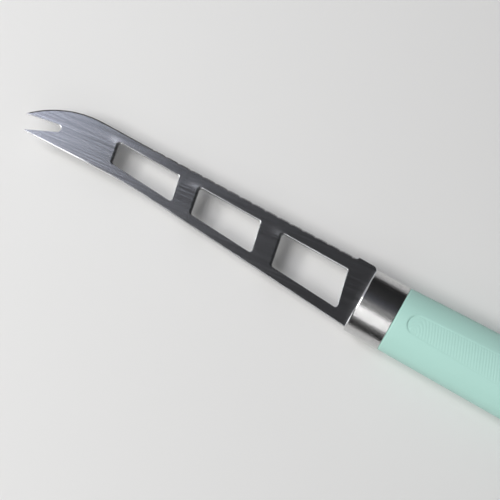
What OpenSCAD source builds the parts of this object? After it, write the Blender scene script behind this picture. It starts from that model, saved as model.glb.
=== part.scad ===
// Cheese knife: a forked, windowed, serrated blade, a pressed oval ferrule and a moulded handle.
// X runs along the knife to the butt, Y to the cutting edge and Z up from the table.
// The origin is on the table, under the middle of the knife's length and width.
// Inside the modules X starts at the ferrule's front face, and Y and Z at the knife's axis.

/* [Blade] */
// Length from the ferrule to the end of the long prong
blade_l = 120; // [112:1:128]
// Thickness of the sheet
blade_t = 1.5; // [1.2:0.1:2]
// From the axis to the line of the cutting edge, at the ferrule
heel_edge_w = 11.15; // [10.5:0.05:11.6]
// How much nearer the axis that line is at the tip
edge_drop = 2.9; // [2:0.1:4]
// From the axis to the spine, at the ferrule
heel_spine_w = 9.95; // [9.5:0.05:10.5]
// From the ferrule to the bend in the spine
bend_l = 82; // [74:1:86]
// From the axis to the spine's bend
bend_spine_w = 4.6; // [4.3:0.1:5]
// Radius of the spine's bend
bend_r = 180; // [100:10:220]
// Plain heel that stands proud of the ground edge, along the blade
heel_l = 6.6; // [5:0.1:7]
// How far the heel stands proud
heel_rise = 0.35; // [0.2:0.05:0.6]
// Corner of the heel at the ferrule
heel_corner_r = 1.3; // [0.8:0.1:1.6]

/* [Fork] */
// Radius of the edge's sweep down to the long prong
sweep_r = 32.2; // [28:0.2:36]
// From the axis to the long prong's end, on the spine's side
long_prong_w = 0.75; // [0.4:0.05:1]
// From the short prong's end to the middle of the notch's round root
short_prong_l = 8.6; // [6:0.1:11]
// From the axis to the short prong's end, on the spine's side
short_prong_w = 5.75; // [5.4:0.05:6.2]
// Blunt end of a prong
prong_end_w = 0.3; // [0.2:0.05:0.5]
// From the long prong's end to the middle of the same root
notch_l = 11.4; // [9:0.1:13]
// From the axis to the middle of the root, on the spine's side
notch_w = 0.22; // [0:0.02:0.6]
// Radius of the notch's root
notch_r = 1.16; // [0.9:0.02:1.4]

/* [Windows] */
// Solid blade between the ferrule and the rear window
heel_solid_l = 6.5; // [6:0.1:9]
// Solid blade between the front window and the long prong's end
tip_solid_l = 31.2; // [29:0.1:36]
// Bar between the rear and the middle window
rear_bar_w = 7.75; // [6:0.05:9]
// Bar between the middle and the front window
front_bar_w = 7.45; // [6:0.05:9]
// Length of the rear window; all three are stretched alike to fill what the bars and ends leave
rear_window_l = 23.5; // [20:0.1:26]
// Length of the middle window
mid_window_l = 21.9; // [19:0.1:24]
// Length of the front window
front_window_l = 21.7; // [19:0.1:24]
// Lean of the windows' front ends
front_lean = 11.2; // [5:0.1:16]
// Lean of the windows' rear ends
rear_lean = 13; // [5:0.1:16]
// Blade left between the windows and the cutting edge, at the ferrule
heel_edge_rail = 4.8; // [4:0.1:5.5]
// The same at the front of the front window
tip_edge_rail = 3.3; // [2.8:0.1:4]
// Blade left between the windows and the spine, at the ferrule
heel_spine_rail = 3.35; // [2.9:0.05:4]
// The same at the front of the front window
tip_spine_rail = 2.7; // [2.2:0.05:3.2]
// Corners of the windows
window_r = 0.8; // [0.5:0.1:1.2]

/* [Cutting edge] */
// From the ferrule to the end of the serrated stretch
serrated_l = 81; // [70:1:88]
// Runout of the grinding in front of the heel
runout_l = 0.9; // [0.6:0.1:1.4]
// From one wave of teeth to the next
wave_pitch = 4.45; // [4:0.05:5.2]
// Length of the scallop between two waves
scallop_l = 1.5; // [1.2:0.1:2]
// Depth of the scallop
scallop_d = 0.3; // [0.2:0.05:0.4]
// Teeth in each wave
wave_teeth = 5; // [4:1:6]
// Depth of the teeth
tooth_d = 0.12; // [0.08:0.01:0.2]
// Width of the ground bevel on each face
bevel_w = 0.55; // [0.45:0.05:0.9]
// Thickness left at the cutting edge
edge_t = 0.25; // [0.15:0.05:0.4]

/* [Tang] */
// Length of the tang from the ferrule's front
tang_l = 66; // [56:1:74]
// Width of the tang at the ferrule
tang_w = 12; // [9:0.5:13]
// Width of the tang at its end
tang_end_w = 8; // [7:0.5:9]
// Corners of the tang's end
tang_r = 2.5; // [1:0.5:3]
// How much thinner than the blade the tang is pressed, on each face
tang_press = 0.1; // [0.05:0.05:0.2]
// Diameter of the two holes that the core's plastic fills
tang_hole_d = 4; // [3:0.5:5]
// From the ferrule's front to the near hole
near_hole_l = 28; // [22:1:34]
// From the ferrule's front to the far hole
far_hole_l = 50; // [42:1:51]

/* [Ferrule] */
// Length of the ferrule
ferrule_l = 12.2; // [10:0.1:14]
// Half of the ferrule's width
ferrule_a = 10.9; // [10.6:0.1:11.2]
// Half of the ferrule's thickness
ferrule_b = 8.6; // [8.2:0.1:8.7]
// Radius of the oval's narrow ends
oval_r = 6.3; // [6.1:0.1:7]
// Wall of the ferrule
ferrule_wall = 0.9; // [0.8:0.1:1.2]
// Rounding of the ferrule's rim
rim_r = 0.6; // [0.3:0.1:0.7]
// Play of the tang in the ferrule's slot, on each side
slot_play = 0.1; // [0.05:0.05:0.2]

/* [Handle] */
// Length of the grip behind the ferrule
grip_l = 100; // [92:1:110]
// From the ferrule to the widest place of the grip
belly_l = 54; // [46:1:60]
// From the axis to the belly, on the cutting edge's side
belly_edge_w = 12.5; // [12.2:0.1:13.5]
// From the axis to the belly, on the spine's side
belly_spine_w = 11; // [10.9:0.1:12]
// From the axis to the butt's side, on the cutting edge's side
butt_edge_w = 10.9; // [10:0.1:12]
// From the axis to the butt's side, on the spine's side
butt_spine_w = 10.1; // [9.5:0.1:11]
// Half of the butt's thickness; in front of the belly the grip is as thick as the ferrule
butt_b = 8.2; // [7.8:0.1:8.6]
// Rounding of the butt
butt_r = 6; // [4.5:0.1:6]
// Thickness of the soft skin over the core
skin_t = 1.8; // [1.5:0.1:2.2]

/* [Grip panels] */
// Smooth skin between the ferrule and a panel
panel_gap = 3.8; // [3:0.1:8]
// Smooth skin between a panel and the butt
panel_end_gap = 22; // [16:1:28]
// Half of a panel's width at its front
panel_front_w = 3.4; // [3:0.1:4]
// Half of a panel's width at the belly
panel_belly_w = 4.8; // [4.3:0.1:5.2]
// Half of a panel's width at its rear
panel_rear_w = 4; // [3.5:0.1:4.5]
// Depth of a panel along its middle
panel_d = 0.38; // [0.3:0.02:0.6]
// Crown of a panel's floor, flatter than the skin
panel_crown_r = 20; // [17:1:26]

/* [Hidden] */
$fn = 64;
cut = 1;
arc_steps = 6;
sweep_steps = 28;
oval_sides = 48;
front_rings = 9;
rear_rings = 7;
butt_rings = 6;
panel_steps = 10;
butt_x = ferrule_l + grip_l;
belly_x = ferrule_l + belly_l;
mid_x = (butt_x - blade_l) / 2;
mid_y = (max(belly_edge_w, heel_edge_w + heel_rise) - belly_spine_w) / 2;

// Plain geometry

function arc(c, r, from, to, steps) =
    [for (i = [0 : steps]) let (q = from + (to - from) * i / steps) c + r * [cos(q), sin(q)]];

function unit(v) = v / norm(v);

function heading(v) = atan2(v[1], v[0]);

// A corner at q, between p and t, rounded to radius r
function rounded(p, q, t, r, steps = arc_steps) =
    let (u = unit(p - q), v = unit(t - q), half = acos(u * v) / 2)
    let (c = q + unit(u + v) * r / sin(half))
    let (from = heading(q + u * r / tan(half) - c), to = heading(q + v * r / tan(half) - c))
    let (turn = to - from, short = turn > 180 ? turn - 360 : turn < -180 ? turn + 360 : turn)
    arc(c, r, from, from + short, steps);

// An outline with all its corners rounded alike
function soft_outline(pts, r) =
    let (n = len(pts))
    [for (i = [0 : n - 1]) each rounded(pts[(i + n - 1) % n], pts[i], pts[(i + 1) % n], r)];

// The heading, seen from c, of the place where a line from p touches the circle
function touch(p, c, r, side) = heading(p - c) + side * acos(r / norm(p - c));

// Blade outline, with x falling from the ferrule to the tip

edge_turn = atan(edge_drop / blade_l);

function edge_y(l) = heel_edge_w - edge_drop * l / blade_l;

function spine_y(l) = (heel_spine_w - bend_spine_w) * l / bend_l - heel_spine_w;

short_end_x = notch_l - blade_l - short_prong_l;

// The sweep touches the line of the edge and ends at the long prong
long_end = [-blade_l, prong_end_w / 2 - long_prong_w];
sweep_depth = (edge_y(blade_l) - long_end[1]) * cos(edge_turn);
sweep_run = sqrt(2 * sweep_r * sweep_depth - sweep_depth * sweep_depth);
edge_run = blade_l * cos(edge_turn) + (heel_edge_w - long_end[1]) * sin(edge_turn) - sweep_run;
sweep_start = [0, heel_edge_w] - edge_run * [cos(edge_turn), sin(edge_turn)];
sweep_c = sweep_start + sweep_r * [sin(edge_turn), -cos(edge_turn)];
sweep_to = heading(long_end - sweep_c);
past_end = 180 / PI * bevel_w / sweep_r;

// Waves of small teeth with a scallop after each wave
ground_l = heel_l + runout_l;
tooth_pitch = wave_pitch / wave_teeth;
tooth_count = floor((serrated_l - ground_l) / tooth_pitch);

function scallop(l) =
    let (at = (l - ground_l) % wave_pitch)
    at < scallop_l ? scallop_d * sin(180 * at / scallop_l) : 0;

function edge_point(l, depth) =
    -l > sweep_start[0]
        ? [-l, edge_y(l) - depth]
        : [-l, sweep_c[1] + sqrt(pow(sweep_r - depth, 2) - pow(l + sweep_c[0], 2))];

// The sweep starts where it leaves the edge's line, or behind teeth that run on round it
sweep_from = max(90 + edge_turn, heading(edge_point(ground_l + tooth_count * tooth_pitch, 0) - sweep_c));

function teeth() =
    [for (i = [0 : 2 * tooth_count])
        let (l = ground_l + i * tooth_pitch / 2)
        edge_point(l, scallop(l) + (i % 2 == 0 ? tooth_d : 0))];

function heel() =
    let (y = heel_edge_w + heel_rise)
    concat(arc([-heel_corner_r, y - heel_corner_r], heel_corner_r, 0, 90, arc_steps),
        [[-heel_l, y], edge_point(heel_l + runout_l / 4, heel_rise)]);

function notch() =
    let (upper = [-blade_l, -prong_end_w / 2 - long_prong_w])
    let (lower = [short_end_x, prong_end_w / 2 - short_prong_w])
    let (root = [notch_l - blade_l, -notch_w])
    let (from = touch(upper, root, notch_r, -1), to = touch(lower, root, notch_r, 1))
    concat([upper], arc(root, notch_r, (from + 360) % 360, (to + 360) % 360 - 360, 2 * arc_steps), [lower]);

function spine() =
    let (prong = [short_end_x, -prong_end_w / 2 - short_prong_w])
    let (bend = [-bend_l, -bend_spine_w], rear = [0, -heel_spine_w])
    concat([prong], rounded(prong, bend, rear, bend_r), [rear]);

function blade_outline() =
    concat(heel(), teeth(), arc(sweep_c, sweep_r, sweep_from, sweep_to, sweep_steps), notch(), spine());

// Windows, each between two leaning ends and the two rails

windows_l = blade_l - tip_solid_l;
windows_room = windows_l - heel_solid_l - rear_bar_w - front_bar_w;
stretch = windows_room / (rear_window_l + mid_window_l + front_window_l);
mid_window_x = -heel_solid_l - stretch * rear_window_l - rear_bar_w;
front_window_x = mid_window_x - stretch * mid_window_l - front_bar_w;

function top_rail_y(x) =
    let (rear = heel_edge_w - heel_edge_rail, front = edge_y(windows_l) - tip_edge_rail)
    rear - (front - rear) * x / windows_l;

function low_rail_y(x) =
    let (rear = heel_spine_rail - heel_spine_w, front = spine_y(windows_l) + tip_spine_rail)
    rear - (front - rear) * x / windows_l;

// The end of a window crosses the axis at x and leans back from it
function end_point(x, y, lean) = [x - y * tan(lean), y];

function window_outline(rear_x, l) =
    let (front_x = rear_x - stretch * l)
    soft_outline([
        end_point(rear_x, low_rail_y(rear_x), rear_lean),
        end_point(rear_x, top_rail_y(rear_x), rear_lean),
        end_point(front_x, top_rail_y(front_x), front_lean),
        end_point(front_x, low_rail_y(front_x), front_lean)
    ], window_r);

// One ground bevel in section: x outwards from the line of the edge, y up from the sheet's middle
module bevel_section() {
    slope = (blade_t - edge_t) / 2 / bevel_w;
    polygon([
        [-bevel_w, blade_t / 2],
        [-bevel_w, blade_t / 2 + cut],
        [bevel_w, blade_t / 2 + cut],
        [bevel_w, edge_t / 2 - bevel_w * slope]
    ]);
}

// The stone's path along the edge and round the sweep, for the upper face
module bevel_cut() {
    translate([0, heel_edge_w, 0]) rotate([0, 0, edge_turn])
        translate([-edge_run - bevel_w, 0, 0]) rotate([90, 0, 90])
            linear_extrude(edge_run + bevel_w - heel_l - runout_l / 4) bevel_section();
    translate([sweep_c[0], sweep_c[1], 0]) rotate([0, 0, 90 + edge_turn])
        rotate_extrude(angle = sweep_to + past_end - 90 - edge_turn)
            translate([sweep_r, 0]) bevel_section();
}

module tang() {
    end = [[-heel_solid_l / 2, -tang_w / 2], [tang_l, -tang_end_w / 2], [tang_l, tang_end_w / 2],
        [-heel_solid_l / 2, tang_w / 2]];
    thick = blade_t - 2 * tang_press;
    difference() {
        linear_extrude(thick, center = true)
            polygon(concat([end[0]], rounded(end[0], end[1], end[2], tang_r),
                rounded(end[1], end[2], end[3], tang_r), [end[3]]));
        for (l = [near_hole_l, far_hole_l])
            translate([l, 0, 0]) cylinder(d = tang_hole_d, h = blade_t, center = true);
    }
}

// Ovals of four arcs: y across the knife, z through it

function flank_r(a, b, r) = (a * a + b * b - 2 * a * r) / 2 / (b - r);

function joint_q(a, b, r) = atan2(flank_r(a, b, r) - b, a - r);

function oval_point(q, a, b, r) =
    let (flank = flank_r(a, b, r), side = [sign(cos(q)), sign(sin(q))])
    let (p = abs(sin(q)) <= sin(joint_q(a, b, r))
        ? [a - r + r * abs(cos(q)), r * abs(sin(q))]
        : [flank * abs(cos(q)), flank * abs(sin(q)) - flank + b])
    [side[0] * p[0], side[1] * p[1]];

module along_x() {
    rotate([90, 0, 90]) children();
}

// A solid oval bar
module oval_face(a, b, r) {
    flank = flank_r(a, b, r);
    for (side = [-1, 1])
        translate([side * (a - r), 0]) circle(r);
    intersection() {
        translate([0, flank - b]) circle(flank);
        translate([0, b - flank]) circle(flank);
        square([2 * flank * cos(joint_q(a, b, r)), 2 * b], center = true);
    }
}

// The ferrule's wall in section: x out from the middle of an arc, y along the knife
module wall_section(r) {
    difference() {
        translate([r - ferrule_wall, 0]) square([ferrule_wall, ferrule_l]);
        translate([r - rim_r, 0]) square(rim_r);
    }
    intersection() {
        translate([r - rim_r, rim_r]) circle(rim_r);
        translate([r - rim_r, 0]) square(rim_r);
    }
}

module ferrule_shell() {
    flank = flank_r(ferrule_a, ferrule_b, oval_r);
    q = joint_q(ferrule_a, ferrule_b, oval_r);
    for (turn = [0, 180]) rotate([0, 0, turn]) {
        translate([ferrule_a - oval_r, 0]) rotate([0, 0, -q])
            rotate_extrude(angle = 2 * q) wall_section(oval_r);
        translate([0, ferrule_b - flank]) rotate([0, 0, q])
            rotate_extrude(angle = 180 - 2 * q) wall_section(flank);
    }
}

// Sizes of the handle at a place along the knife

function along(x, front, belly, butt) =
    x < belly_x
        ? front + (belly - front) * sin(90 * (x - ferrule_l) / belly_l)
        : butt + (belly - butt) * cos(90 * (x - belly_x) / (grip_l - belly_l));

function edge_side(x) = along(x, ferrule_a, belly_edge_w, butt_edge_w);

function spine_side(x) = along(x, ferrule_a, belly_spine_w, butt_spine_w);

function handle_y(x) = (edge_side(x) - spine_side(x)) / 2;

function handle_ring(x, inset) =
    let (a = (edge_side(x) + spine_side(x)) / 2, b = along(x, ferrule_b, ferrule_b, butt_b))
    [for (i = [0 : oval_sides - 1])
        let (p = oval_point(360 * i / oval_sides, a - inset, b - inset, oval_r - inset))
        [x, p[0] + handle_y(x), p[1]]];

// The handle's skin, or the same form that much deeper
module handle_form(inset) {
    turn_x = butt_x - butt_r;
    rings = concat(
        [for (i = [0 : front_rings - 1]) handle_ring(ferrule_l + belly_l * i / front_rings, inset)],
        [for (i = [0 : rear_rings - 1]) handle_ring(belly_x + (turn_x - belly_x) * i / rear_rings, inset)],
        [for (i = [0 : butt_rings])
            let (q = 90 * i / butt_rings)
            let (ring = handle_ring(turn_x + (butt_r - inset) * sin(q), inset + (butt_r - inset) * (1 - cos(q))))
            ring]
    );
    n = oval_sides;
    last = len(rings) - 1;
    polyhedron([for (ring = rings) each ring], concat(
        [[for (i = [0 : n - 1]) i]],
        [for (k = [0 : last - 1]) for (i = [0 : n - 1])
            let (j = (i + 1) % n)
            each [[k * n + i, (k + 1) * n + i, (k + 1) * n + j], [k * n + i, (k + 1) * n + j, k * n + j]]],
        [[for (i = [n - 1 : -1 : 0]) last * n + i]]
    ));
}

// Outline of a grip panel, on the middle line of the handle
function panel_side(x) =
    x < belly_x
        ? panel_front_w + (panel_belly_w - panel_front_w) * sin(90 * (x - panel_from) / (belly_x - panel_from))
        : panel_rear_w + (panel_belly_w - panel_rear_w) * cos(90 * (x - belly_x) / (panel_to - belly_x));

panel_from = ferrule_l + panel_gap + panel_front_w;
panel_to = butt_x - panel_end_gap - panel_rear_w;

function panel_outline() =
    let (xs = [for (i = [0 : panel_steps]) panel_from + (panel_to - panel_from) * i / panel_steps])
    concat(
        arc([panel_from, handle_y(panel_from)], panel_front_w, 270, 90, 2 * arc_steps),
        [for (i = [1 : panel_steps - 1]) [xs[i], handle_y(xs[i]) + panel_side(xs[i])]],
        arc([panel_to, handle_y(panel_to)], panel_rear_w, 90, -90, 2 * arc_steps),
        [for (i = [panel_steps - 1 : -1 : 1]) [xs[i], handle_y(xs[i]) - panel_side(xs[i])]]
    );

module panel_recess() {
    difference() {
        linear_extrude(ferrule_b + cut) polygon(panel_outline());
        translate([0, handle_y(belly_x), ferrule_b - panel_d - panel_crown_r])
            along_x() cylinder(r = panel_crown_r, h = butt_x);
    }
}

module in_place() {
    translate([-mid_x, -mid_y, ferrule_b]) children();
}

module blade() {
    color("lightslategray") in_place() {
        difference() {
            linear_extrude(blade_t, center = true) polygon(blade_outline());
            for (up = [0, 1]) mirror([0, 0, up]) bevel_cut();
            linear_extrude(blade_t + cut, center = true) {
                polygon(window_outline(-heel_solid_l, rear_window_l));
                polygon(window_outline(mid_window_x, mid_window_l));
                polygon(window_outline(front_window_x, front_window_l));
            }
        }
        tang();
    }
}

module ferrule() {
    color("silver") in_place() along_x() {
        ferrule_shell();
        difference() {
            linear_extrude(ferrule_wall)
                oval_face(ferrule_a - ferrule_wall, ferrule_b - ferrule_wall, oval_r - ferrule_wall);
            cube([tang_w + 2 * slot_play, blade_t - 2 * tang_press + 2 * slot_play, 2 * ferrule_l], center = true);
        }
    }
}

module handle_core() {
    color("darkseagreen") in_place() difference() {
        union() {
            translate([ferrule_wall, 0, 0]) along_x() linear_extrude(ferrule_l - ferrule_wall)
                oval_face(ferrule_a - ferrule_wall, ferrule_b - ferrule_wall, oval_r - ferrule_wall);
            handle_form(skin_t);
        }
        tang();
    }
}

module grip_sleeve() {
    color("#b2dccf") in_place() difference() {
        handle_form(0);
        handle_form(skin_t);
        for (up = [0, 1]) mirror([0, 0, up]) panel_recess();
    }
}

blade();
ferrule();
handle_core();
grip_sleeve();
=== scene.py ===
import math

import bmesh
import bpy
import numpy as np
from mathutils import Matrix, Vector


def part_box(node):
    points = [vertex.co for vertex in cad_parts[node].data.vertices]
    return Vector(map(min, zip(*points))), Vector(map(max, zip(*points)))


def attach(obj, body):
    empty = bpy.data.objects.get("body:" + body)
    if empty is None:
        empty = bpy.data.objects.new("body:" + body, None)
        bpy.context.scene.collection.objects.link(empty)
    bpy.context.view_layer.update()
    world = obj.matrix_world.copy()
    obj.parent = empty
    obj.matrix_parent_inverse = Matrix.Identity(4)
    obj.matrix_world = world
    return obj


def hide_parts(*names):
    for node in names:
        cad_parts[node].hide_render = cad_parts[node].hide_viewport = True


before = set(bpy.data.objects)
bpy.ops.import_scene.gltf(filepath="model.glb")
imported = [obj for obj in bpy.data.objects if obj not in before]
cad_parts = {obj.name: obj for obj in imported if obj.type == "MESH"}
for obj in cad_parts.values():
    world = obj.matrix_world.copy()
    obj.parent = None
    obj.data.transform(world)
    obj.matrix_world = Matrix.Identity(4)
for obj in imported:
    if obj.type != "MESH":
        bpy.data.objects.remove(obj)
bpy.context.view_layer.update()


# Blade. One stamping of stainless sheet: a die cuts the forked tip, the three windows, the heel and the
# tang. A belt brushes both faces, a touch askew of the blade's length, and a stone grinds the cutting edge
# from both faces and leaves waves of small teeth in its straight stretch. The tang sits in the handle.

mm = 0.001
ferrule_low, ferrule_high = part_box("ferrule")
blade_low, blade_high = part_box("blade")
axis = (ferrule_low + ferrule_high) / 2
front_x = ferrule_low.x
blade_l = front_x - blade_low.x
sheet_half = (blade_high.z - blade_low.z) / 2

heel_edge_w = 11.15 * mm
edge_drop = 2.9 * mm
heel_spine_w = 9.95 * mm
bend_l = 82 * mm
bend_spine_w = 4.6 * mm
bend_r = 180 * mm
heel_l = 6.6 * mm
heel_rise = 0.2 * mm
heel_corner_r = 1.3 * mm
sweep_r = 32.2 * mm
long_prong_w = 0.75 * mm
short_prong_l = 8.6 * mm
short_prong_w = 5.75 * mm
prong_end_w = 0.3 * mm
notch_l = 10.8 * mm
notch_shift = 0.22 * mm
notch_r = 1.16 * mm
heel_solid_l = 6.35 * mm
rear_window_l = 23.65 * mm
rear_bar_w = 7.6 * mm
mid_window_l = 22.05 * mm
front_bar_w = 7.3 * mm
front_window_l = 21.85 * mm
front_lean = math.radians(11.2)
rear_lean = math.radians(13)
heel_edge_rail = 4.8 * mm
tip_edge_rail = 3.3 * mm
heel_spine_rail = 3.35 * mm
tip_spine_rail = 2.7 * mm
window_r = 0.8 * mm
serrated_l = 81 * mm
runout_l = 0.9 * mm
wave_pitch = 4.45 * mm
wave_teeth = 5
scallop_l = 1.5 * mm
scallop_d = 0.2 * mm
tooth_d = 0.16 * mm
tooth_points = 6
bevel_w = 0.55 * mm
edge_half = 0.06 * mm
die_roll = 0.08 * mm
front_roll_w = 0.85 * mm
spine_roll_w = 0.18 * mm
roll_steps = 4
corner_steps = 10
sweep_steps = 60
notch_steps = 24
bend_steps = 12
tang_l = 66 * mm
tang_w = 12 * mm
tang_end_w = 8 * mm
tang_r = 2.5 * mm
tang_half = sheet_half - 0.1 * mm
tang_hole_r = 2 * mm
tang_hole_sides = 32
tang_holes_l = (28 * mm, 50 * mm)


def flat(x, y):
    return Vector((x, y))


def arc(centre, radius, start, end, steps):
    turns = [start + (end - start) * k / steps for k in range(steps + 1)]
    return [centre + radius * flat(math.cos(t), math.sin(t)) for t in turns]


def heading(v):
    return math.atan2(v.y, v.x)


# The turns of the quarter of a circle, from 0 to a right angle
def quarter(steps):
    return [math.pi / 2 * k / steps for k in range(steps + 1)]


# The arc that takes the corner between two straight lines off
def rounded(before, corner, after, radius, steps=corner_steps):
    u = (before - corner).normalized()
    v = (after - corner).normalized()
    half = u.angle(v) / 2
    centre = corner + (u + v).normalized() * radius / math.sin(half)
    start = heading(corner + u * radius / math.tan(half) - centre)
    end = heading(corner + v * radius / math.tan(half) - centre)
    turn = (end - start + math.pi) % (2 * math.pi) - math.pi
    return arc(centre, radius, start, start + turn, steps)


# The turn at which a straight line from a point outside touches a circle
def touch(point, centre, radius, side):
    away = point - centre
    return heading(away) + side * math.acos(radius / away.length)


# An outline is a list of (wall point, face point, half thickness of the wall). The face point is where the
# flat face ends: a bevel's width inside the ground edge, and a hair inside a wall that the die cut. Such a
# wall rolls over wider and deeper at the front of each window, where the die first bit into the sheet, and
# where it looks at the spine's side, apart from the prongs' narrow ends.
def die_cut(points, closed, narrow=()):
    count = len(points)
    rows = []
    for k, point in enumerate(points):
        before = points[k - 1] if k or closed else point
        after = points[(k + 1) % count] if k < count - 1 or closed else point
        a = (point - before).normalized()
        b = (after - point).normalized()
        a = a if a.length else b
        b = b if b.length else a
        side = flat(-(a.y + b.y), a.x + b.x) / (1 + a.dot(b))
        bitten = max(0, -side.x / side.length) ** 2 if closed else 0
        rolled = 0 if any(point is end for end in narrow) else max(0, side.y / side.length) ** 2
        roll_w = die_roll + bitten * front_roll_w + rolled * spine_roll_w
        roll_d = die_roll * (1 + 2 * bitten + rolled)
        rows.append((point, point + side * roll_w, sheet_half - roll_d))
    return rows


edge_turn = math.atan(edge_drop / blade_l)
edge_out = flat(-math.sin(edge_turn), math.cos(edge_turn))


def edge_y(length):
    return heel_edge_w - edge_drop * length / blade_l


def heel_rows():
    top = heel_edge_w + heel_rise
    corner = flat(-heel_corner_r, top - heel_corner_r)
    points = arc(corner, heel_corner_r, 0, math.pi / 2, corner_steps)
    points += [flat(-heel_l, top), flat(-heel_l - runout_l / 4, edge_y(heel_l) - heel_rise)]
    rows = die_cut(points, False)
    rows[0] = (points[0], points[0], rows[0][2])
    return rows


def teeth_rows():
    ground_l = heel_l + runout_l
    pitch = wave_pitch / wave_teeth
    count = int((serrated_l - ground_l) / pitch)
    rows = []
    for k in range(count * tooth_points + 1):
        run = pitch * k / tooth_points
        in_wave = run % wave_pitch
        dip = scallop_d * math.sin(math.pi * in_wave / scallop_l) if in_wave < scallop_l else 0
        tooth = tooth_d * abs(math.cos(math.pi * run / pitch))
        line = flat(-ground_l - run, edge_y(ground_l + run))
        wall = line - edge_out * (dip + tooth)
        face = line - edge_out * (bevel_w + dip + tooth / 2)
        rows.append((wall, face, edge_half))
    return rows


def sweep_rows():
    tip = flat(-blade_l, prong_end_w / 2 - long_prong_w)
    depth = (edge_y(blade_l) - tip.y) * math.cos(edge_turn)
    across = math.sqrt(2 * sweep_r * depth - depth ** 2)
    run = blade_l * math.cos(edge_turn) + (heel_edge_w - tip.y) * math.sin(edge_turn) - across
    start = flat(0, heel_edge_w) - run * flat(math.cos(edge_turn), math.sin(edge_turn))
    centre = start - sweep_r * edge_out
    rows = []
    for point in arc(centre, sweep_r, math.pi / 2 + edge_turn, heading(tip - centre), sweep_steps):
        room = prong_end_w / 2 + (point.x - tip.x) / 2
        inwards = (centre - point).normalized() * min(bevel_w, room)
        rows.append((point, point + inwards, edge_half))
    return rows


def fork_rows():
    upper = flat(-blade_l, -prong_end_w / 2 - long_prong_w)
    lower = flat(notch_l - blade_l - short_prong_l, prong_end_w / 2 - short_prong_w)
    root = flat(notch_l - blade_l, -notch_shift)
    start = touch(upper, root, notch_r, -1) % (2 * math.pi)
    end = touch(lower, root, notch_r, 1) % (2 * math.pi) - 2 * math.pi
    prong = lower - flat(0, prong_end_w)
    rear = flat(0, -heel_spine_w)
    notch_rim = arc(root, notch_r, start, end, notch_steps)
    bend = rounded(prong, flat(-bend_l, -bend_spine_w), rear, bend_r, bend_steps)
    points = [upper, *notch_rim, lower, prong, *bend, rear]
    rows = die_cut(points, False, (upper, prong))
    rows[-1] = (rear, rear + flat(0, die_roll), rows[-1][2])
    return [(wall, flat(max(face.x, -blade_l), face.y), half) for wall, face, half in rows]


mid_window_x = -heel_solid_l - rear_window_l - rear_bar_w
front_window_x = mid_window_x - mid_window_l - front_bar_w
windows_l = front_window_l - front_window_x
window_places = (
    (-heel_solid_l, rear_window_l), (mid_window_x, mid_window_l), (front_window_x, front_window_l))
spine_rise = (heel_spine_w - bend_spine_w) / bend_l


def window_rows(rear_x, length):
    window_front_x = rear_x - length
    upper_rear = heel_edge_w - heel_edge_rail
    upper_slope = (edge_y(windows_l) - tip_edge_rail - upper_rear) / windows_l
    lower_rear = heel_spine_rail - heel_spine_w
    lower_slope = (spine_rise * windows_l - heel_spine_w + tip_spine_rail - lower_rear) / windows_l
    corners = []
    for x, lean, over in ((rear_x, rear_lean, False), (rear_x, rear_lean, True),
                          (window_front_x, front_lean, True), (window_front_x, front_lean, False)):
        y = upper_rear - upper_slope * x if over else lower_rear - lower_slope * x
        corners.append(flat(x - y * math.tan(lean), y))
    points = []
    for k, corner in enumerate(corners):
        points += rounded(corners[k - 1], corner, corners[(k + 1) % len(corners)], window_r)
    points.reverse()
    return die_cut(points, True)


# A place in the shared frame, from lengths behind the ferrule's front, towards the edge's side and up
def at(x, y, z):
    return Vector((front_x + x, axis.y + y, axis.z + z))


# Slots of the steels with painted light: a painted highlight on cut walls facing the spine's side, painted
# shade on the other cut walls and on the ground bevel
painted_highlight_wall_slot = 1
painted_shade_wall_slot = 2
painted_shade_bevel_slot = 3


def is_ground(half):
    return half < sheet_half / 2


# Walls between the two faces of the sheet, for one outline; gives the rings from the upper face down to the
# lower one. A cut wall rolls over from the face in a curve, and a ground one falls off straight.
def sheet_walls(bm, rows, closed):
    levels = []
    for up in (1, -1):
        rings = []
        for k, turn in enumerate(quarter(roll_steps)):
            ring = []
            for wall, face, half in rows:
                out = k / roll_steps if is_ground(half) else math.sin(turn)
                rest = 1 - k / roll_steps if is_ground(half) else math.cos(turn)
                place = face + (wall - face) * out
                height = half + (sheet_half - half) * rest
                ring.append(bm.verts.new(at(place.x, place.y, up * height)))
            rings.append(ring)
        levels += rings if up > 0 else rings[::-1]
    count = len(rows)
    for high, low in zip(levels, levels[1:]):
        for k in range(count if closed else count - 1):
            j = (k + 1) % count
            face = bm.faces.new((high[k], high[j], low[j], low[k]))
            run = high[j].co - high[k].co
            # Ground faces take the steel with painted shade; a cut wall's middle ring takes the painted
            # highlight where it faces the spine's side, painted shade elsewhere
            if is_ground(rows[k][2]) and is_ground(rows[j][2]):
                face.material_index = painted_shade_bevel_slot
            elif high is levels[roll_steps]:
                face.material_index = painted_highlight_wall_slot if run.x > abs(run.y) else painted_shade_wall_slot
    return levels


# A flat face between rings, with sharp edges round it
def fill(bm, rings):
    edges = []
    for ring in rings:
        for pair in zip(ring, ring[1:] + ring[:1]):
            edges.append(bm.edges.get(pair) or bm.edges.new(pair))
    bmesh.ops.triangle_fill(bm, use_beauty=True, edges=edges)
    for edge in edges:
        edge.smooth = False


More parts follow.
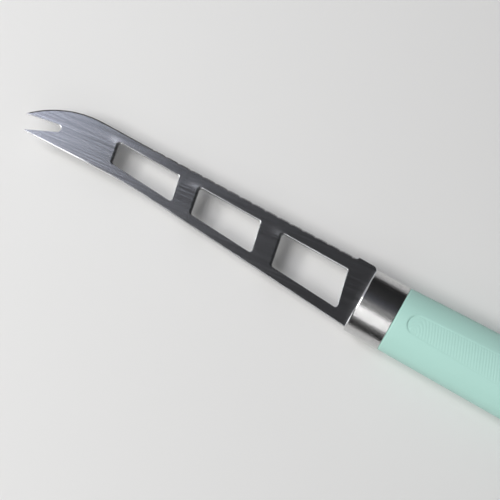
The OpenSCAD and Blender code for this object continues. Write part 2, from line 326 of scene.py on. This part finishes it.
def blade_mesh():
    bm = bmesh.new()
    outer = sheet_walls(bm, heel_rows() + teeth_rows() + sweep_rows() + fork_rows(), False)
    windows = [sheet_walls(bm, window_rows(x, length), True) for x, length in window_places]
    for level in (0, -1):
        fill(bm, [outer[level]] + [window[level] for window in windows])

    # The tang leaves the middle of the blade's rear wall
    front_low, front_high = flat(0, -tang_w / 2), flat(0, tang_w / 2)
    rear_low, rear_high = flat(tang_l, -tang_end_w / 2), flat(tang_l, tang_end_w / 2)
    side = [front_low, *rounded(front_low, rear_low, rear_high, tang_r),
            *rounded(rear_low, rear_high, front_high, tang_r), front_high]
    faces = [[bm.verts.new(at(p.x, p.y, up * tang_half)) for p in side] for up in (1, -1)]
    rear_wall = [level[0] for level in outer] + [level[-1] for level in reversed(outer)]
    fill(bm, [rear_wall, [faces[0][0], faces[0][-1], faces[1][-1], faces[1][0]]])
    for k in range(len(side) - 1):
        bm.faces.new((faces[0][k], faces[0][k + 1], faces[1][k + 1], faces[1][k]))
    holes = []
    for length in tang_holes_l:
        circle = arc(flat(length, 0), tang_hole_r, 0, 2 * math.pi, tang_hole_sides)[:-1]
        hole = [[bm.verts.new(at(p.x, p.y, up * tang_half)) for p in circle] for up in (1, -1)]
        for k in range(tang_hole_sides):
            j = (k + 1) % tang_hole_sides
            bm.faces.new((hole[0][k], hole[0][j], hole[1][j], hole[1][k]))
        holes.append(hole)
    for level in (0, 1):
        fill(bm, [faces[level]] + [hole[level] for hole in holes])
    return bm


fine_line_scale = 1.0
broad_line_scale = 0.35
broad_line_weight = 0.03
line_range = (0.3, 0.72)
speck_scale = 2600
speck_range = (0.3, 0.7)


# Fine lines left by a belt or a lathe tool, and fine specks between them, as numbers from 0 to 1 over the
# surface. Size is how far a line reaches along X, Y and Z, and Turn turns these about Z. Height is for a
# bump.
def brushed_grain_group():
    group = bpy.data.node_groups.new("brushed grain", "ShaderNodeTree")
    face = group.interface
    size = face.new_socket("Size", in_out="INPUT", socket_type="NodeSocketVector")
    size.default_value = (20 * mm, 0.3 * mm, 0.3 * mm)
    face.new_socket("Turn", in_out="INPUT", socket_type="NodeSocketFloat")
    for name in ("Streaks", "Specks", "Height"):
        face.new_socket(name, in_out="OUTPUT", socket_type="NodeSocketFloat")
    nodes, links = group.nodes, group.links
    given = nodes.new("NodeGroupInput")
    out = nodes.new("NodeGroupOutput")
    place = nodes.new("ShaderNodeTexCoord")
    turn = nodes.new("ShaderNodeVectorRotate")
    turn.rotation_type = "Z_AXIS"
    links.new(place.outputs["Object"], turn.inputs["Vector"])
    links.new(given.outputs["Turn"], turn.inputs["Angle"])
    scaled = nodes.new("ShaderNodeVectorMath")
    scaled.operation = "DIVIDE"
    links.new(turn.outputs["Vector"], scaled.inputs[0])
    links.new(given.outputs["Size"], scaled.inputs[1])
    found = []
    for scale in (fine_line_scale, broad_line_scale):
        noise = nodes.new("ShaderNodeTexNoise")
        noise.inputs["Scale"].default_value = scale
        noise.inputs["Detail"].default_value = 2.0
        links.new(scaled.outputs["Vector"], noise.inputs["Vector"])
        found.append(noise)
    both = nodes.new("ShaderNodeMath")
    both.operation = "MULTIPLY_ADD"
    both.inputs[1].default_value = broad_line_weight
    links.new(found[1].outputs["Fac"], both.inputs[0])
    links.new(found[0].outputs["Fac"], both.inputs[2])
    spread = nodes.new("ShaderNodeMapRange")
    spread.inputs["From Min"].default_value = line_range[0]
    spread.inputs["From Max"].default_value = line_range[1]
    links.new(both.outputs[0], spread.inputs["Value"])
    links.new(spread.outputs["Result"], out.inputs["Streaks"])
    links.new(both.outputs[0], out.inputs["Height"])
    dots = nodes.new("ShaderNodeTexNoise")
    dots.inputs["Scale"].default_value = speck_scale
    dots.inputs["Detail"].default_value = 1.0
    links.new(place.outputs["Object"], dots.inputs["Vector"])
    sharp = nodes.new("ShaderNodeMapRange")
    sharp.inputs["From Min"].default_value = speck_range[0]
    sharp.inputs["From Max"].default_value = speck_range[1]
    links.new(dots.outputs["Fac"], sharp.inputs["Value"])
    links.new(sharp.outputs["Result"], out.inputs["Specks"])
    return group


brushed_grain = brushed_grain_group()


# Steel whose roughness and tone swing with the grain. Bump is the depth of its lines and sand that of its
# specks, and speckle is the specks' share in the swings.
def steel(name, colour, roughness, anisotropic, grain, rough_swing, tone_swing, bump,
          speckle=0.3, sand=0.0):
    material = bpy.data.materials.new(name)
    material.use_nodes = True
    nodes, links = material.node_tree.nodes, material.node_tree.links
    shader = nodes["Principled BSDF"]
    shader.inputs["Metallic"].default_value = 1.0
    shader.inputs["Anisotropic"].default_value = anisotropic
    lines = nodes.new("ShaderNodeGroup")
    lines.node_tree = brushed_grain
    for socket, value in grain.items():
        lines.inputs[socket].default_value = value
    worked = nodes.new("ShaderNodeMix")
    worked.inputs["Factor"].default_value = speckle
    links.new(lines.outputs["Streaks"], worked.inputs["A"])
    links.new(lines.outputs["Specks"], worked.inputs["B"])
    rough = nodes.new("ShaderNodeMapRange")
    rough.inputs["To Min"].default_value = roughness - rough_swing
    rough.inputs["To Max"].default_value = roughness + rough_swing
    links.new(worked.outputs["Result"], rough.inputs["Value"])
    links.new(rough.outputs["Result"], shader.inputs["Roughness"])
    tone = nodes.new("ShaderNodeMix")
    tone.data_type = "RGBA"
    tone.inputs["A"].default_value = (*[c * (1 - tone_swing) for c in colour], 1)
    tone.inputs["B"].default_value = (*[c * (1 + tone_swing) for c in colour], 1)
    links.new(worked.outputs["Result"], tone.inputs["Factor"])
    links.new(tone.outputs["Result"], shader.inputs["Base Color"])
    relief = nodes.new("ShaderNodeBump")
    relief.inputs["Distance"].default_value = bump
    links.new(lines.outputs["Height"], relief.inputs["Height"])
    pits = nodes.new("ShaderNodeBump")
    pits.inputs["Distance"].default_value = sand
    links.new(lines.outputs["Specks"], pits.inputs["Height"])
    links.new(relief.outputs["Normal"], pits.inputs["Normal"])
    links.new(pits.outputs["Normal"], shader.inputs["Normal"])
    along = nodes.new("ShaderNodeTangent")
    along.direction_type = "UV_MAP"
    along.uv_map = "grain"
    links.new(along.outputs["Tangent"], shader.inputs["Tangent"])
    return material


grain_maps_per_m = 10


# The first axis of the grain map runs across the lines, which is the way that a highlight spreads. An axis
# that leans gives the upright walls a direction too.
def grain_map(bm, across, other):
    layer = bm.loops.layers.uv.new("grain")
    for face in bm.faces:
        for loop in face.loops:
            place = loop.vert.co
            loop[layer].uv = Vector((place.dot(across), place.dot(other))) * grain_maps_per_m


def finish_mesh(bm, name, crease=math.radians(32)):
    bmesh.ops.recalc_face_normals(bm, faces=bm.faces)
    for edge in bm.edges:
        if edge.calc_face_angle(0) > crease:
            edge.smooth = False
    for face in bm.faces:
        face.smooth = True
    mesh = bpy.data.meshes.new(name)
    bm.to_mesh(mesh)
    bm.free()
    piece = bpy.data.objects.new(name, mesh)
    bpy.context.scene.collection.objects.link(piece)
    return piece


cut_grain = 0.4 * mm


# Cut and ground edges are dull steel whose colour is scaled by painted light and shade along the blade:
# from the first shade to the second between two lengths, taken from the ferrule towards the tip.
def steel_with_painted_light(name, painted_shades, lengths, roughness):
    material = steel(
        name, colour=(1.0, 1.0, 1.02), roughness=roughness, anisotropic=0.0,
        grain={"Size": (cut_grain, cut_grain, cut_grain), "Turn": 0.0},
        rough_swing=0.06, tone_swing=0.18, bump=0.004 * mm)
    nodes, links = material.node_tree.nodes, material.node_tree.links
    place = nodes.new("ShaderNodeTexCoord")
    parts = nodes.new("ShaderNodeSeparateXYZ")
    links.new(place.outputs["Object"], parts.inputs["Vector"])
    # The painted light and shade: a ramp along X that scales the steel's colour
    painted_shade = nodes.new("ShaderNodeMapRange")
    painted_shade.inputs["From Min"].default_value = front_x - lengths[0]
    painted_shade.inputs["From Max"].default_value = front_x - lengths[1]
    painted_shade.inputs["To Min"].default_value = painted_shades[0]
    painted_shade.inputs["To Max"].default_value = painted_shades[1]
    links.new(parts.outputs["X"], painted_shade.inputs["Value"])
    shader = nodes["Principled BSDF"]
    tone = shader.inputs["Base Color"].links[0].from_socket
    toned = nodes.new("ShaderNodeVectorMath")
    toned.operation = "SCALE"
    links.new(tone, toned.inputs["Vector"])
    links.new(painted_shade.outputs["Result"], toned.inputs["Scale"])
    links.new(toned.outputs["Vector"], shader.inputs["Base Color"])
    return material


mark_shift = 2.5 * mm
mark_y = 4.8 * mm
mark_size = (4.6 * mm, 2.6 * mm, 1.0)
mark_rough = 0.05
painted_highlight_tone = 0.3


# The die presses the sheet beside each window's front corner, which leaves a duller mark there, an oval
# that fades outwards and goes through the sheet. The same oval lightens the colour, a painted highlight.
def pressed_marks_and_painted_highlights(material):
    nodes, links = material.node_tree.nodes, material.node_tree.links
    shader = nodes["Principled BSDF"]
    place = nodes.new("ShaderNodeTexCoord")
    mark_and_highlight_mask = None
    for x, length in window_places:
        near = nodes.new("ShaderNodeVectorMath")
        near.operation = "SUBTRACT"
        near.inputs[1].default_value = (front_x + x - length - mark_shift, mark_y, 0)
        scaled = nodes.new("ShaderNodeVectorMath")
        scaled.operation = "DIVIDE"
        scaled.inputs[1].default_value = mark_size
        mark = nodes.new("ShaderNodeTexGradient")
        mark.gradient_type = "QUADRATIC_SPHERE"
        links.new(place.outputs["Object"], near.inputs[0])
        links.new(near.outputs["Vector"], scaled.inputs[0])
        links.new(scaled.outputs["Vector"], mark.inputs["Vector"])
        if mark_and_highlight_mask:
            both = nodes.new("ShaderNodeMath")
            both.operation = "ADD"
            links.new(mark_and_highlight_mask, both.inputs[0])
            links.new(mark.outputs["Fac"], both.inputs[1])
            mark_and_highlight_mask = both.outputs[0]
        else:
            mark_and_highlight_mask = mark.outputs["Fac"]
    # Roughness takes the duller mark, and Base Color the painted highlight
    for socket, most in (("Roughness", mark_rough), ("Base Color", painted_highlight_tone)):
        lift = nodes.new("ShaderNodeVectorMath")
        lift.operation = "MULTIPLY_ADD"
        lift.inputs[1].default_value = (most, most, most)
        links.new(mark_and_highlight_mask, lift.inputs[0])
        links.new(shader.inputs[socket].links[0].from_socket, lift.inputs[2])
        links.new(lift.outputs["Vector"], shader.inputs[socket])


brush_turn = math.radians(6)
across_rise = 0.7
along_rise = 0.2
blade_bm = blade_mesh()
grain_map(blade_bm, Vector((-math.sin(brush_turn), math.cos(brush_turn), across_rise)),
          Vector((math.cos(brush_turn), math.sin(brush_turn), along_rise)))
blade = finish_mesh(blade_bm, "blade_ground")
blade.data.materials.append(steel(
    "brushed blade steel", colour=(0.56, 0.565, 0.58), roughness=0.211, anisotropic=0.39,
    grain={"Size": (30 * mm, 0.45 * mm, 0.45 * mm), "Turn": -brush_turn},
    rough_swing=0.015, tone_swing=0.3, bump=0.0005 * mm))
pressed_marks_and_painted_highlights(blade.data.materials[0])
# Spine-facing walls: painted highlight, brightest towards the tip. Other cut walls: flat painted shade.
# Bevel: painted shade, darkest towards the tip.
for name, painted_shades, lengths, roughness in (
        ("spine wall steel with painted highlight", (1.0, 0.4), (92 * mm, 58 * mm), 0.4),
        ("wall steel with painted shade", (0.12, 0.12), (90 * mm, 0), 0.5),
        ("ground edge steel with painted shade", (0.08, 0.28), (70 * mm, 40 * mm), 0.4)):
    blade.data.materials.append(steel_with_painted_light(name, painted_shades, lengths, roughness))
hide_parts("blade")
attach(blade, "root")


# Ferrule. An oval cup pressed from thin stainless sheet, with a rounded rim where its wall turns into its
# front, and a slot there that the tang passes through. It is nearly polished, with fine lines round it and
# a sandy grain.

ferrule_l = ferrule_high.x - ferrule_low.x
ferrule_a = (ferrule_high.y - ferrule_low.y) / 2
ferrule_b = (ferrule_high.z - ferrule_low.z) / 2
oval_r = 6.3 * mm
ferrule_wall = 0.9 * mm
rim_r = 0.6 * mm
ferrule_edge_r = 0.12 * mm
straight_gap = 0.15 * mm
slot_play = 0.1 * mm
oval_sides = 144
rim_steps = 8
edge_steps = 4


# The oval, 2a wide and 2b thick, is made of two narrow arcs of radius r and two flanks of a larger radius
def flank_radius(a, b, r):
    return (a * a + b * b - 2 * a * r) / 2 / (b - r)


# How far the normal has turned from Y where a narrow arc meets a flank
def joint_turn(a, b, r):
    return math.atan2(flank_radius(a, b, r) - b, a - r)


# A point of the oval where its outward normal is turned by t from +Y
def oval_point(t, a, b, r):
    flank = flank_radius(a, b, r)
    c, s = math.cos(t), math.sin(t)
    if abs(s) <= math.sin(joint_turn(a, b, r)):
        y, z = a - r + r * abs(c), r * abs(s)
    else:
        y, z = flank * abs(c), flank * abs(s) - flank + b
    return math.copysign(y, c), math.copysign(z, s)


def oval_ring(bm, x, inset):
    a, b, r = ferrule_a - inset, ferrule_b - inset, oval_r - inset
    ring = []
    for k in range(oval_sides):
        y, z = oval_point(2 * math.pi * (k + 0.5) / oval_sides, a, b, r)
        ring.append(bm.verts.new(at(x, y, z)))
    return ring


def bridge(bm, rings):
    for near, far in zip(rings, rings[1:]):
        for k in range(len(near)):
            j = (k + 1) % len(near)
            bm.faces.new((near[k], near[j], far[j], far[k]))


def slot_ring(bm, x):
    half_w = tang_w / 2 + slot_play
    half_h = tang_half + slot_play
    corners = [(half_w, half_h), (-half_w, half_h), (-half_w, -half_h), (half_w, -half_h)]
    return [bm.verts.new(at(x, y, z)) for y, z in corners]


def ferrule_mesh():
    bm = bmesh.new()
    outside = []
    for t in quarter(rim_steps):
        outside.append(oval_ring(bm, rim_r * (1 - math.cos(t)), rim_r * (1 - math.sin(t))))
    for x in (rim_r + straight_gap, ferrule_l - ferrule_edge_r - straight_gap):
        outside.append(oval_ring(bm, x, 0))
    for t in quarter(edge_steps):
        x = ferrule_l - ferrule_edge_r * (1 - math.sin(t))
        outside.append(oval_ring(bm, x, ferrule_edge_r * (1 - math.cos(t))))
    inside = [oval_ring(bm, ferrule_l, ferrule_wall), oval_ring(bm, ferrule_wall, ferrule_wall)]
    bridge(bm, outside + inside)
    slots = [slot_ring(bm, 0), slot_ring(bm, ferrule_wall)]
    bridge(bm, slots)
    fill(bm, [outside[0], slots[0]])
    fill(bm, [inside[-1], slots[1]])
    return bm


lean_y = 0.6
lean_z = 0.8
ferrule_bm = ferrule_mesh()
grain_map(ferrule_bm, Vector((1, 0, 0)), Vector((0, lean_y, lean_z)))
ferrule = finish_mesh(ferrule_bm, "ferrule_cup")
ferrule.data.materials.append(steel(
    "polished ferrule steel", colour=(0.6, 0.598, 0.595), roughness=0.223, anisotropic=0.62,
    grain={"Size": (0.3 * mm, 20 * mm, 20 * mm), "Turn": 0.0},
    rough_swing=0.02, tone_swing=0.25, bump=0.0005 * mm, speckle=0.8, sand=0.016 * mm))
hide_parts("ferrule")
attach(ferrule, "root")


# Handle core. Rigid plastic moulded round the tang, with a spigot that fills the ferrule. The ferrule and
# the grip hide it, so it stays as the frame has it and gets its plain moulded colour.

core_colour = (0.34, 0.56, 0.49, 1)
core_flow_scale = 400
core_rough_range = (0.42, 0.55)


def core_material():
    material = bpy.data.materials.new("moulded core plastic")
    material.use_nodes = True
    nodes, links = material.node_tree.nodes, material.node_tree.links
    shader = nodes["Principled BSDF"]
    shader.inputs["Base Color"].default_value = core_colour
    flow = nodes.new("ShaderNodeTexNoise")
    flow.inputs["Scale"].default_value = core_flow_scale
    rough = nodes.new("ShaderNodeMapRange")
    rough.inputs["To Min"].default_value = core_rough_range[0]
    rough.inputs["To Max"].default_value = core_rough_range[1]
    links.new(flow.outputs["Fac"], rough.inputs["Value"])
    links.new(rough.outputs["Result"], shader.inputs["Roughness"])
    return material


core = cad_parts["handle_core"]
core.data.materials.clear()
core.data.materials.append(core_material())


# Grip sleeve. A soft mint skin moulded over the core, flush with the ferrule. It swells to a belly and
# closes in a rounded butt. Each face has a long sunk panel, filled with fine ribs that start as rings
# round a place near the panel's front and open out into slanted lines.

grip_low, grip_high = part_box("grip_sleeve")
grip_l = grip_high.x - grip_low.x
butt_x = ferrule_l + grip_l
belly_l = 54 * mm
belly_x = ferrule_l + belly_l
belly_edge_w = 12.5 * mm
belly_spine_w = 11 * mm
butt_edge_w = 10.9 * mm
butt_spine_w = 10.1 * mm
butt_b = 8.2 * mm
butt_r = 6 * mm
skin_t = 1.8 * mm
lip_r = 0.45 * mm
panel_gap = 3.8 * mm
panel_end_gap = 22 * mm
panel_front_w = 3.4 * mm
panel_belly_w = 4.8 * mm
panel_rear_w = 4 * mm
panel_d = 0.3 * mm
panel_crown_r = 20 * mm
panel_wall_w = 0.6 * mm
panel_line_d = 0.025 * mm
rib_pitch = 0.92 * mm
rib_h = 0.045 * mm
rib_margin = 0.35 * mm
rib_from_x = 3.1 * mm
rib_from_y = -2.1 * mm
rib_lean = math.radians(22)
rib_opening = 2.2 * mm
zone_share = 0.56
zone_cells = 72
side_cells = 30
fine_step = 0.17 * mm
lip_steps = 4
front_rings = 7
rear_rings = 16
butt_rings = 18
inner_butt_rings = 8
inner_rings = 24
panel_from = ferrule_l + panel_gap + panel_front_w
panel_to = butt_x - panel_end_gap - panel_rear_w


# A width along the grip: it swells from the front to the belly and tapers to the butt
def along_grip(x, front, belly, butt):
    swell = front + (belly - front) * np.sin(np.pi / 2 * np.clip((x - ferrule_l) / belly_l, 0, 1))
    taper = butt + (belly - butt) * np.cos(np.pi / 2 * np.clip((x - belly_x) / (grip_l - belly_l), 0, 1))
    return np.where(x < belly_x, swell, taper)


def edge_side(x):
    return along_grip(x, ferrule_a, belly_edge_w, butt_edge_w)


def spine_side(x):
    return along_grip(x, ferrule_a, belly_spine_w, butt_spine_w)


def smooth(t):
    t = np.clip(t, 0, 1)
    return t * t * (3 - 2 * t)


# How far a place lies inside the outline of the panel
def inside_panel(x, y):
    front = (x - panel_from) / (belly_x - panel_from)
    rear = (x - belly_x) / (panel_to - belly_x)
    side = np.where(
        x < belly_x,
        panel_front_w + (panel_belly_w - panel_front_w) * np.sin(np.pi / 2 * np.clip(front, 0, 1)),
        panel_rear_w + (panel_belly_w - panel_rear_w) * np.cos(np.pi / 2 * np.clip(rear, 0, 1)))
    past = np.maximum(panel_from - x, 0) + np.maximum(x - panel_to, 0)
    return side - np.hypot(past, y)


# The height of the ribs, from 0 to 1: rings round one place that open out behind it
def ribs(x, y):
    dx = x - ferrule_l - panel_gap - rib_from_x
    dy = y - rib_from_y
    out = dx * math.cos(rib_lean) + dy * math.sin(rib_lean)
    over = dy * math.cos(rib_lean) - dx * math.sin(rib_lean)
    widening = 1 + (np.maximum(out, 0) / rib_opening) ** 2
    reach = np.sqrt(out ** 2 + over ** 2 / widening)
    return 0.5 + 0.5 * np.cos(2 * np.pi * reach / rib_pitch)


# How far the skin sinks at a place on the middle of a face; skin_z is its height there without the panel
def panel_depth(x, y, skin_z):
    inside = inside_panel(x, y)
    floor_z = ferrule_b - panel_d - panel_crown_r + np.sqrt(panel_crown_r ** 2 - y ** 2)
    sunk = smooth(inside / panel_wall_w) * np.maximum(skin_z - floor_z, 0)
    line = panel_line_d * np.exp(-((inside - panel_wall_w / 2) / (panel_wall_w / 2)) ** 2)
    rib = rib_h * ribs(x, y) * smooth((inside - rib_margin) / rib_margin)
    return sunk + line - rib


# One ring of the skin at x, as arrays of y and z: the middle of the upper face, the spine's side, the
# middle of the lower face and the edge's side. The middles have fine cells, for the panels.
def skin_ring(x, inset, panels):
    upper, lower = edge_side(x) - inset, spine_side(x) - inset
    a = (upper + lower) / 2
    middle = (upper - lower) / 2
    b = along_grip(x, ferrule_b, ferrule_b, butt_b) - inset
    r = oval_r - inset
    flank = flank_radius(a, b, r)
    joint = joint_turn(a, b, r)
    half = zone_share * flank * math.cos(joint)
    y = np.linspace(half, -half, zone_cells + 1)
    z = np.sqrt(flank ** 2 - y ** 2) - flank + b
    if panels:
        z = z - panel_depth(np.full_like(y, x), y, z)
    start = math.acos(half / flank)
    side = []
    for k in range(1, side_cells):
        side.append(oval_point(start - 2 * start * k / side_cells, a, b, r))
    side = np.array(side)
    ys = np.concatenate([y, -side[:, 0], y[::-1], side[::-1, 0]])
    zs = np.concatenate([z, side[:, 1], -z[::-1], side[::-1, 1]])
    return ys + middle, zs


# Rings at stations (x, inset, has panels), outside to the butt and inside back to the front. One face
# closes the butt outside and one inside.
def sleeve_mesh():
    turn_x = butt_x - butt_r
    stations = []
    for t in quarter(lip_steps):
        stations.append((ferrule_l + lip_r * (1 - math.sin(t)), lip_r * (1 - math.cos(t)), False))
    stations.reverse()
    fine_from = panel_from - panel_front_w - 2 * panel_wall_w
    fine_to = panel_to + panel_rear_w + 2 * panel_wall_w
    for x in np.linspace(ferrule_l + lip_r, fine_from, front_rings)[1:-1]:
        stations.append((x, 0, False))
    for x in np.linspace(fine_from, fine_to, int((fine_to - fine_from) / fine_step)):
        stations.append((x, 0, True))
    for x in np.linspace(fine_to, turn_x, rear_rings)[1:-1]:
        stations.append((x, 0, False))
    for t in np.linspace(0, math.pi / 2, butt_rings):
        stations.append((turn_x + butt_r * math.sin(t), butt_r * (1 - math.cos(t)), False))
    inner = []
    inner_r = butt_r - skin_t
    for t in np.linspace(math.pi / 2, 0, inner_butt_rings):
        inner.append((turn_x + inner_r * math.sin(t), skin_t + inner_r * (1 - math.cos(t)), False))
    for x in np.linspace(turn_x, ferrule_l, inner_rings)[1:]:
        inner.append((x, skin_t, False))
    coords = []
    for x, inset, panels in stations + inner:
        ys, zs = skin_ring(x, inset, panels)
        coords.append(np.column_stack([np.full_like(ys, front_x + x), ys + axis.y, zs + axis.z]))
    count = len(coords[0])
    butt_at = len(stations) - 1
    faces = []
    for k in range(len(coords)):
        if k == butt_at:
            continue
        m = (k + 1) % len(coords)
        for i in range(count):
            j = (i + 1) % count
            faces.append((k * count + i, k * count + j, m * count + j, m * count + i))
    faces.append(tuple(butt_at * count + i for i in range(count)))
    faces.append(tuple((butt_at + 1) * count + i for i in range(count)))
    mesh = bpy.data.meshes.new("grip_skin")
    mesh.from_pydata(np.concatenate(coords).tolist(), [], faces)
    bm = bmesh.new()
    bm.from_mesh(mesh)
    bpy.data.meshes.remove(mesh)
    return bm


skin_tones = ((0.480, 0.773, 0.690, 1), (0.505, 0.803, 0.720, 1))
skin_rough_range = (0.5, 0.64)
skin_cloud_scale = 60
skin_grain_scale = 3500
skin_bump = 0.008 * mm
skin_crease = math.radians(50)


def soft_skin_material():
    material = bpy.data.materials.new("soft mint skin")
    material.use_nodes = True
    nodes, links = material.node_tree.nodes, material.node_tree.links
    shader = nodes["Principled BSDF"]
    shader.inputs["Specular IOR Level"].default_value = 0.35
    shader.inputs["Sheen Weight"].default_value = 0.06
    shader.inputs["Sheen Roughness"].default_value = 0.5
    place = nodes.new("ShaderNodeTexCoord")
    cloud = nodes.new("ShaderNodeTexNoise")
    cloud.inputs["Scale"].default_value = skin_cloud_scale
    cloud.inputs["Detail"].default_value = 4
    links.new(place.outputs["Object"], cloud.inputs["Vector"])
    tone = nodes.new("ShaderNodeMix")
    tone.data_type = "RGBA"
    tone.inputs["A"].default_value = skin_tones[0]
    tone.inputs["B"].default_value = skin_tones[1]
    links.new(cloud.outputs["Fac"], tone.inputs["Factor"])
    links.new(tone.outputs["Result"], shader.inputs["Base Color"])
    grain = nodes.new("ShaderNodeTexNoise")
    grain.inputs["Scale"].default_value = skin_grain_scale
    grain.inputs["Detail"].default_value = 2
    links.new(place.outputs["Object"], grain.inputs["Vector"])
    rough = nodes.new("ShaderNodeMapRange")
    rough.inputs["To Min"].default_value = skin_rough_range[0]
    rough.inputs["To Max"].default_value = skin_rough_range[1]
    links.new(grain.outputs["Fac"], rough.inputs["Value"])
    links.new(rough.outputs["Result"], shader.inputs["Roughness"])
    relief = nodes.new("ShaderNodeBump")
    relief.inputs["Distance"].default_value = skin_bump
    relief.inputs["Strength"].default_value = 0.6
    links.new(grain.outputs["Fac"], relief.inputs["Height"])
    links.new(relief.outputs["Normal"], shader.inputs["Normal"])
    return material


sleeve = finish_mesh(sleeve_mesh(), "grip_skin", skin_crease)
sleeve.data.materials.append(soft_skin_material())
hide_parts("grip_sleeve")
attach(sleeve, "root")


# Table, light and camera. A plain pale table, seen from above and a little from the spine's side. The blade
# mirrors a large main lamp and a narrow bright side one, both over the spine's side past the tip, and the
# ferrule a long key lamp. Four weak ones fill in from the other sides.

table_half = 6.0
table_tones = ((0.778, 0.775, 0.764, 1), (0.803, 0.800, 0.790, 1))
table_cloud_scale = 14


# The table is clear from below, so that a view from there shows the knife
def table():
    corners = [(-table_half, -table_half, 0), (table_half, -table_half, 0),
               (table_half, table_half, 0), (-table_half, table_half, 0)]
    mesh = bpy.data.meshes.new("table")
    mesh.from_pydata(corners, [], [(0, 1, 2, 3)])
    top = bpy.data.objects.new("table", mesh)
    bpy.context.scene.collection.objects.link(top)
    material = bpy.data.materials.new("pale table")
    material.use_nodes = True
    nodes, links = material.node_tree.nodes, material.node_tree.links
    shader = nodes["Principled BSDF"]
    shader.inputs["Roughness"].default_value = 0.6
    shader.inputs["Specular IOR Level"].default_value = 0.2
    cloud = nodes.new("ShaderNodeTexNoise")
    cloud.inputs["Scale"].default_value = table_cloud_scale
    cloud.inputs["Detail"].default_value = 5
    tone = nodes.new("ShaderNodeMix")
    tone.data_type = "RGBA"
    tone.inputs["A"].default_value = table_tones[0]
    tone.inputs["B"].default_value = table_tones[1]
    links.new(cloud.outputs["Fac"], tone.inputs["Factor"])
    links.new(tone.outputs["Result"], shader.inputs["Base Color"])
    clear = nodes.new("ShaderNodeBsdfTransparent")
    under = nodes.new("ShaderNodeNewGeometry")
    choice = nodes.new("ShaderNodeMixShader")
    links.new(under.outputs["Backfacing"], choice.inputs["Fac"])
    links.new(shader.outputs["BSDF"], choice.inputs[1])
    links.new(clear.outputs["BSDF"], choice.inputs[2])
    links.new(choice.outputs["Shader"], nodes["Material Output"].inputs["Surface"])
    mesh.materials.append(material)


# A lamp is given as it looks from the knife: how far it leans from straight above towards +X and +Y, how
# wide it spreads in those two directions, both in degrees, and how bright it shines.
def lamp(name, lean, spread, radiance, colour, distance=1.0):
    aim = Vector((math.tan(math.radians(lean[0])), math.tan(math.radians(lean[1])), 1)).normalized()
    side = (Vector((1, 0, 0)) - aim * aim.x).normalized()
    light = bpy.data.lights.new(name, "AREA")
    light.shape = "RECTANGLE"
    light.size = 2 * distance * math.tan(math.radians(spread[0] / 2))
    light.size_y = 2 * distance * math.tan(math.radians(spread[1] / 2))
    light.energy = radiance * math.pi * light.size * light.size_y
    light.color = colour
    holder = bpy.data.objects.new(name, light)
    bpy.context.scene.collection.objects.link(holder)
    turn = Matrix((side, aim.cross(side), aim)).transposed().to_4x4()
    holder.matrix_world = Matrix.Translation(Vector((0, 0, axis.z)) + aim * distance) @ turn


warm = (1.0, 0.995, 0.985)
white = (1.0, 1.0, 1.0)
cool = (0.72, 0.78, 1.0)
table()
lamp("main", (-26, -15), (18, 34), 6.9, warm)
lamp("side", (-45, -15), (9, 34), 15.0, warm)
lamp("key", (-3, -37.5), (10, 36), 2.9, white)
lamp("sky", (-29, 12), (28, 28), 0.9, cool)
lamp("right", (48, -10), (40, 70), 0.15, white)
lamp("front", (40, -60), (30, 24), 0.8, white)
lamp("back_left", (-48, 45), (30, 30), 1.0, white)

world = bpy.data.worlds.new("dim room")
world.use_nodes = True
world.node_tree.nodes["Background"].inputs["Color"].default_value = (0.019, 0.019, 0.020, 1)
bpy.context.scene.world = world

picture_turn = math.radians(30.1)
eye_lean = math.radians(11)
eye_height = 0.7
eye = Vector((10 * mm, axis.y - eye_height * math.tan(eye_lean), axis.z + eye_height))
looked_at = Vector((-33.55 * mm, -4.33 * mm, axis.z))
picture_w = 156.29 * mm
back = (eye - looked_at).normalized()
level = Vector((math.cos(picture_turn), math.sin(picture_turn), 0))
right = (level - back * level.dot(back)).normalized()
up = back.cross(right)
camera_data = bpy.data.cameras.new("camera")
camera_data.sensor_width = 36
camera_data.lens = camera_data.sensor_width * (eye - looked_at).length / picture_w
camera_data.clip_end = 100
camera = bpy.data.objects.new("camera", camera_data)
camera.matrix_world = Matrix.Translation(eye) @ Matrix((right, up, back)).transposed().to_4x4()
bpy.context.scene.collection.objects.link(camera)
bpy.context.scene.camera = camera
bpy.context.scene.view_settings.view_transform = "Standard"
